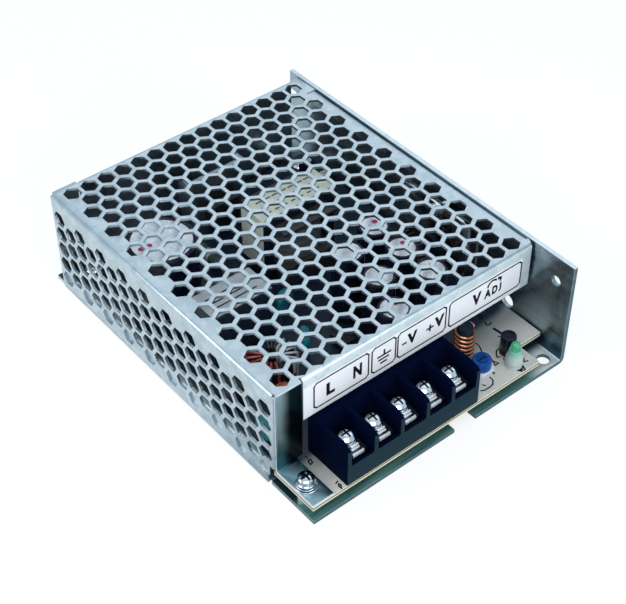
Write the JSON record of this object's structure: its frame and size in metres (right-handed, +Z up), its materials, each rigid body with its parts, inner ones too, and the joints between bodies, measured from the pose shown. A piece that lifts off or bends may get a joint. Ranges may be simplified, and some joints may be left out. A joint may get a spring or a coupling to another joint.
{
  "type": "mesh case switching power supply",
  "caption": "Enclosed switching power supply: folded chassis, perforated cover and a row of screw terminals beside a trimmer and lamp.",
  "frame": {"origin": "middle of the case's outline, on the face that it stands on", "axes": "+X along the terminal side towards the full height wall, +Y from the terminals to the rear, +Z up"},
  "size_m": [0.098, 0.129, 0.038],
  "materials": {
    "galvanised_steel": "cold zinc coated sheet, satin",
    "plated_screw": "bright nickel plate",
    "plated_tag": "tin plate",
    "board": "glass fibre board under pale lacquer",
    "film": "thin polyester film",
    "black_moulding": "fine grained black thermoplastic",
    "sleeve": "shrunk sleeve with a bare aluminium top",
    "trimmer_white": "white moulding",
    "trimmer_blue": "blue moulding",
    "lamp_holder": "frosted natural nylon",
    "lamp_green": "clear green lens",
    "ferrite": "ground ferrite, dark",
    "copper_wire": "lacquered copper wire",
    "tape": "pale polyester tape",
    "bobbin": "black phenolic",
    "winding_tape": "wound tape",
    "box_film": "light grey flame retardant case",
    "teal_lacquer": "dipped ceramic, teal lacquer",
    "orange_lacquer": "dipped disc, orange lacquer",
    "dark_lacquer": "dark silicone coat",
    "black_epoxy": "moulded epoxy",
    "aluminium": "rolled, plain",
    "pad": "grey thermal pad",
    "fuse_case": "dark moulded case"
  },
  "bodies": {
    "supply": {"chassis": "galvanised_steel", "cover": "galvanised_steel", "insulating_film": "film", "circuit_board": "board", "board_standoffs": "plated_screw", "board_screws": "plated_screw", "foot_screw": "plated_screw", "foot_washer": "plated_screw", "wall_screw": "plated_screw", "terminal_block": "black_moulding", "terminal_tags": "plated_tag", "trimmer_base": "trimmer_white", "trimmer_body": "trimmer_blue", "lamp_holder": "lamp_holder", "lamp": "lamp_green", "bay_capacitor": "sleeve", "rod_choke_core": "ferrite", "rod_choke_winding": "copper_wire", "bulk_capacitor": "sleeve", "output_capacitors": "sleeve", "small_capacitors": "sleeve", "transformer_core": "ferrite", "transformer_bobbin": "bobbin", "transformer_winding": "winding_tape", "transformer_tape": "tape", "input_choke_core": "ferrite", "input_choke_windings": "copper_wire", "safety_capacitors": "teal_lacquer", "surge_varistor": "orange_lacquer", "inrush_thermistor": "dark_lacquer", "fuse": "fuse_case", "bridge_rectifier": "black_epoxy", "filter_capacitor": "box_film", "switch_heat_sink": "aluminium", "switch_transistor": "black_epoxy", "output_rectifiers": "black_epoxy", "rectifier_pad": "pad", "clamp_bar": "galvanised_steel", "clamp_screw": "plated_screw", "output_choke_core": "ferrite", "output_choke_winding": "copper_wire", "control_chip": "black_epoxy", "optocoupler": "black_epoxy", "snubber_resistor": "dark_lacquer"},
    "clamp_1": {"terminal_clamp_1": "plated_tag"},
    "clamp_2": {"terminal_clamp_2": "plated_tag"},
    "clamp_3": {"terminal_clamp_3": "plated_tag"},
    "clamp_4": {"terminal_clamp_4": "plated_tag"},
    "clamp_5": {"terminal_clamp_5": "plated_tag"},
    "screw_1": {"terminal_screw_1": "plated_screw"},
    "screw_2": {"terminal_screw_2": "plated_screw"},
    "screw_3": {"terminal_screw_3": "plated_screw"},
    "screw_4": {"terminal_screw_4": "plated_screw"},
    "screw_5": {"terminal_screw_5": "plated_screw"},
    "adjuster": {"trimmer_rotor": "trimmer_blue"}
  },
  "joints": [
    {"name": "screw_1_lift", "type": "slide", "parent": "supply", "child": "clamp_1", "axis": [0, 0, 1], "range_m": [0, 0.003]},
    {"name": "screw_1_turn", "type": "hinge", "parent": "clamp_1", "child": "screw_1", "pos_m": [-0.0309, -0.0573, 0.016], "axis": [0, 0, 1], "range_deg": [0, 1800]},
    {"name": "screw_2_lift", "type": "slide", "parent": "supply", "child": "clamp_2", "axis": [0, 0, 1], "range_m": [0, 0.003]},
    {"name": "screw_2_turn", "type": "hinge", "parent": "clamp_2", "child": "screw_2", "pos_m": [-0.0214, -0.0573, 0.016], "axis": [0, 0, 1], "range_deg": [0, 1800]},
    {"name": "screw_3_lift", "type": "slide", "parent": "supply", "child": "clamp_3", "axis": [0, 0, 1], "range_m": [0, 0.003]},
    {"name": "screw_3_turn", "type": "hinge", "parent": "clamp_3", "child": "screw_3", "pos_m": [-0.0119, -0.0573, 0.016], "axis": [0, 0, 1], "range_deg": [0, 1800]},
    {"name": "screw_4_lift", "type": "slide", "parent": "supply", "child": "clamp_4", "axis": [0, 0, 1], "range_m": [0, 0.003]},
    {"name": "screw_4_turn", "type": "hinge", "parent": "clamp_4", "child": "screw_4", "pos_m": [-0.0024, -0.0573, 0.016], "axis": [0, 0, 1], "range_deg": [0, 1800]},
    {"name": "screw_5_lift", "type": "slide", "parent": "supply", "child": "clamp_5", "axis": [0, 0, 1], "range_m": [0, 0.003]},
    {"name": "screw_5_turn", "type": "hinge", "parent": "clamp_5", "child": "screw_5", "pos_m": [0.0071, -0.0573, 0.016], "axis": [0, 0, 1], "range_deg": [0, 1800]},
    {"name": "adjuster_turn", "type": "hinge", "parent": "supply", "child": "adjuster", "pos_m": [0.0224, -0.0557, 0.0115], "axis": [0, 0, 1], "range_deg": [-135, 135]}
  ],
  "couplings": [
    {"joint": "screw_1_turn", "follows": "screw_1_lift", "rad_per_m": 10472},
    {"joint": "screw_2_turn", "follows": "screw_2_lift", "rad_per_m": 10472},
    {"joint": "screw_3_turn", "follows": "screw_3_lift", "rad_per_m": 10472},
    {"joint": "screw_4_turn", "follows": "screw_4_lift", "rad_per_m": 10472},
    {"joint": "screw_5_turn", "follows": "screw_5_lift", "rad_per_m": 10472}
  ]
}
